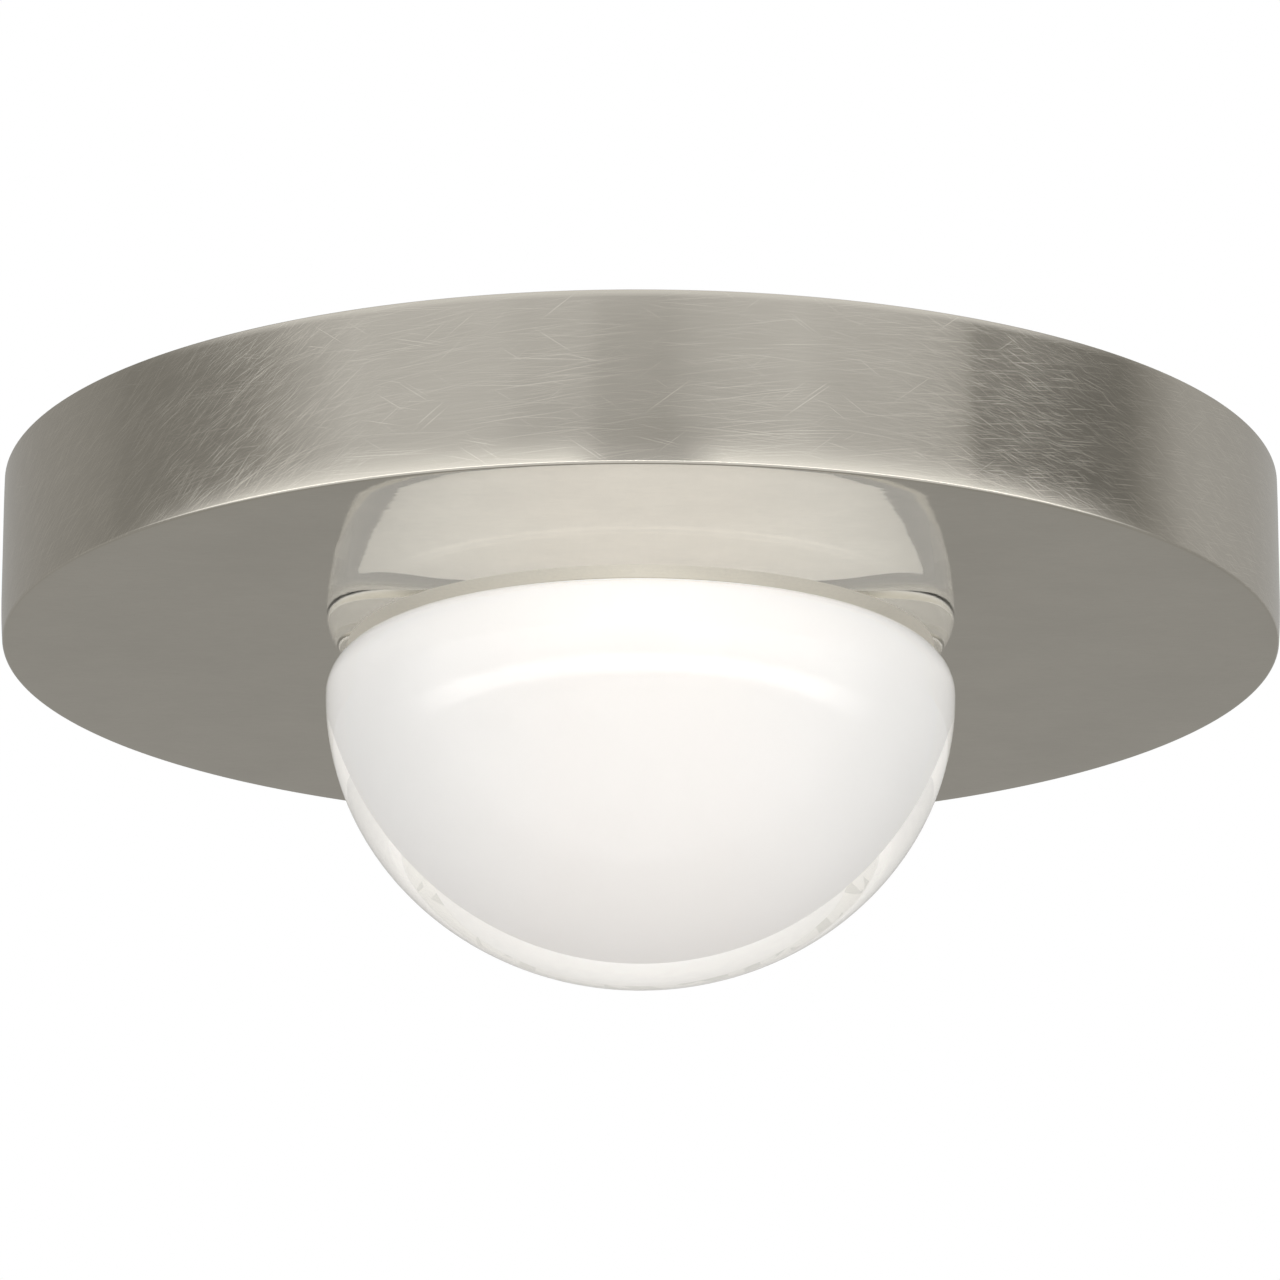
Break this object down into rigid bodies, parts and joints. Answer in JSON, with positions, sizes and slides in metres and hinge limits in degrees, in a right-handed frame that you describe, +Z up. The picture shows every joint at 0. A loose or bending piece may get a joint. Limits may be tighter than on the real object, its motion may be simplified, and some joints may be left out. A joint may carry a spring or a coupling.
{
  "type": "flush mount ceiling light",
  "caption": "Round shallow metal canopy with a thick clear glass dome, frosted inside, on its underside; twist-lock plate, light board and driver inside.",
  "frame": {"origin": "centre of the mounting plate's back face, in the plane of the ceiling", "axes": "+Z up into the ceiling, the light hangs along -Z; X runs through the two box screw slots"},
  "size_m": [0.2032, 0.2032, 0.08],
  "materials": {
    "nickel": "burnished brushed nickel plating, semi-gloss",
    "zinc_steel": "bright zinc plating",
    "clear_glass": "polished outside, sandblasted in the hollow",
    "silicone": "matte translucent silicone",
    "cast_aluminium": "as cast, satin",
    "thermal_gel": "soft matte pad",
    "board_white": "white solder mask on aluminium",
    "phosphor": "warm white phosphor",
    "white_nylon": "moulded nylon",
    "case_white": "moulded, fine texture",
    "board_green": "green solder mask",
    "ferrite": "ground ferrite",
    "winding_tape": "polyester tape over copper",
    "can_sleeve": "shrink sleeve",
    "film_case": "moulded box",
    "brass": "plain",
    "tinned_copper": "tinned",
    "green_screw": "green passivated",
    "wire_black": "insulation",
    "wire_white": "insulation",
    "wire_green": "insulation",
    "wire_red": "insulation"
  },
  "bodies": {
    "ceiling_plate": {"mounting_plate": "zinc_steel", "ground_screw": "green_screw"},
    "fixture": {"canopy": "nickel", "weld_studs": "zinc_steel", "ring_posts": "zinc_steel", "hanger_ring": "zinc_steel", "ring_screws": "zinc_steel", "dome_lock_ring": "zinc_steel", "engine_standoffs": "zinc_steel", "heat_sink": "cast_aluminium", "heat_sink_screws": "zinc_steel", "thermal_pad": "thermal_gel", "led_board": "board_white", "led_chips": "phosphor", "board_connector": "white_nylon", "board_screws": "zinc_steel", "driver_base": "case_white", "driver_cover": "case_white", "driver_cover_screws": "zinc_steel", "driver_board": "board_green", "transformer_core": "ferrite", "transformer_winding": "winding_tape", "electrolytic_capacitors": "can_sleeve", "film_capacitor": "film_case", "line_choke": "ferrite", "terminal_block": "white_nylon", "terminal_clamps": "brass", "terminal_screws": "zinc_steel", "ground_eyelet": "tinned_copper", "stud_nuts": "zinc_steel", "ac_line_lead": "wire_black", "ac_neutral_lead": "wire_white", "ground_lead": "wire_green", "dc_positive_lead": "wire_red", "dc_negative_lead": "wire_black", "lead_clips": "white_nylon"},
    "dome": {"glass_dome": "clear_glass", "dome_gasket": "silicone"}
  },
  "joints": [
    {"name": "fixture_twist", "type": "hinge", "parent": "ceiling_plate", "child": "fixture", "pos_m": [0, 0, 0], "axis": [0, 0, -1], "range_deg": [0, 22]},
    {"name": "dome_twist", "type": "hinge", "parent": "fixture", "child": "dome", "pos_m": [0, 0, -0.0273], "axis": [0, 0, -1], "range_deg": [0, 40]}
  ]
}
